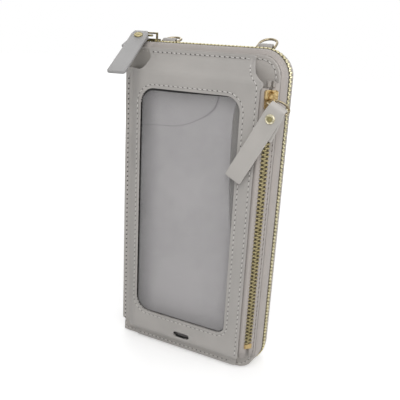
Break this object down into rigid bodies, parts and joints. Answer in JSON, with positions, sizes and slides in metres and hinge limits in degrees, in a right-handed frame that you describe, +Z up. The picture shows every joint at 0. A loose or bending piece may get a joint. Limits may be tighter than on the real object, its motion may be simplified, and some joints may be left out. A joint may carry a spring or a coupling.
{
  "type": "zip-around phone pouch",
  "caption": "Slim leather phone pouch with a zip round three sides, a clear window pocket on the front with its own zip, leather pulls and D-rings",
  "frame": {"origin": "middle of the width, in the plane of the body zip, at the bottom edge", "axes": "+X to the zip side, -Y to the window pocket, +Z up to the D-rings"},
  "size_m": [0.1055, 0.0686, 0.1964],
  "materials": {
    "leather": "fine-grained matt leather",
    "lining": "smooth lining cloth",
    "zip_tape": "woven tape",
    "teeth_metal": "pale gold teeth",
    "slider_metal": "polished gold",
    "ring_metal": "polished wire",
    "film": "clear soft film"
  },
  "bodies": {
    "front_half": {"front_cover": "leather", "front_spine": "leather", "front_lining": "lining", "front_card_pockets": "leather", "front_zip_tape": "zip_tape", "front_zip_teeth": "teeth_metal", "zip_top_end": "zip_tape", "zip_bottom_end": "zip_tape", "main_top_stops": "teeth_metal", "main_bottom_stop": "teeth_metal", "window_panel": "leather", "window_film": "film", "pocket_lining": "lining", "pocket_zip_tape_outer": "zip_tape", "pocket_zip_tape_inner": "zip_tape", "pocket_zip_teeth_outer": "teeth_metal", "pocket_zip_teeth_inner": "teeth_metal", "pocket_top_stops": "slider_metal", "pocket_bottom_stop": "slider_metal"},
    "back_half": {"back_cover": "leather", "back_spine": "leather", "back_lining": "lining", "back_note_pocket": "leather", "back_zip_tape": "zip_tape", "back_zip_teeth": "teeth_metal", "dring_tab_left": "leather", "dring_tab_right": "leather"},
    "main_slider_body": {"main_slider": "slider_metal"},
    "main_ring_body": {"main_pull_ring": "slider_metal"},
    "main_strap_body": {"main_pull_strap": "leather", "main_pull_rivet": "slider_metal"},
    "pocket_slider_body": {"pocket_slider": "slider_metal"},
    "pocket_ring_body": {"pocket_pull_ring": "slider_metal"},
    "pocket_strap_body": {"pocket_pull_strap": "leather", "pocket_pull_rivet": "slider_metal"},
    "dring_left_body": {"dring_left": "ring_metal"},
    "dring_right_body": {"dring_right": "ring_metal"}
  },
  "joints": [
    {"name": "cover_hinge", "type": "hinge", "parent": "front_half", "child": "back_half", "pos_m": [-0.04775, 0, 0], "axis": [0, 0, 1], "range_deg": [0, 120]},
    {"name": "main_slider_slide", "type": "slide", "parent": "front_half", "child": "main_slider_body", "axis": [1, 0, 0], "range_m": [0, 0.062], "deforming": ["front_zip_teeth", "back_zip_teeth"]},
    {"name": "main_ring_swing", "type": "hinge", "parent": "main_slider_body", "child": "main_ring_body", "pos_m": [-0.038, 0, 0.1953], "axis": [-1, 0, 0], "range_deg": [0, 11]},
    {"name": "main_strap_swing", "type": "hinge", "parent": "main_ring_body", "child": "main_strap_body", "pos_m": [-0.0408, -0.00645, 0.1939], "axis": [-0.9629, -0.27, 0], "range_deg": [0, 50]},
    {"name": "pocket_slider_slide", "type": "slide", "parent": "front_half", "child": "pocket_slider_body", "axis": [0, 0, -1], "range_m": [0, 0.138], "deforming": ["pocket_zip_teeth_outer", "pocket_zip_teeth_inner"]},
    {"name": "pocket_ring_swing", "type": "hinge", "parent": "pocket_slider_body", "child": "pocket_ring_body", "pos_m": [0.04875, -0.02035, 0.1655], "axis": [0, 0, 1], "range_deg": [0, 12]},
    {"name": "pocket_strap_swing", "type": "hinge", "parent": "pocket_ring_body", "child": "pocket_strap_body", "pos_m": [0.05176, -0.02392, 0.16198], "axis": [-0.907, -0.03, 0.42], "range_deg": [0, 90]},
    {"name": "dring_left_swing", "type": "hinge", "parent": "back_half", "child": "dring_left_body", "pos_m": [-0.0308, 0.00985, 0.1912], "axis": [1, 0, 0], "range_deg": [-15, 95]},
    {"name": "dring_right_swing", "type": "hinge", "parent": "back_half", "child": "dring_right_body", "pos_m": [0.0308, 0.00985, 0.1912], "axis": [1, 0, 0], "range_deg": [-30, 80]}
  ]
}
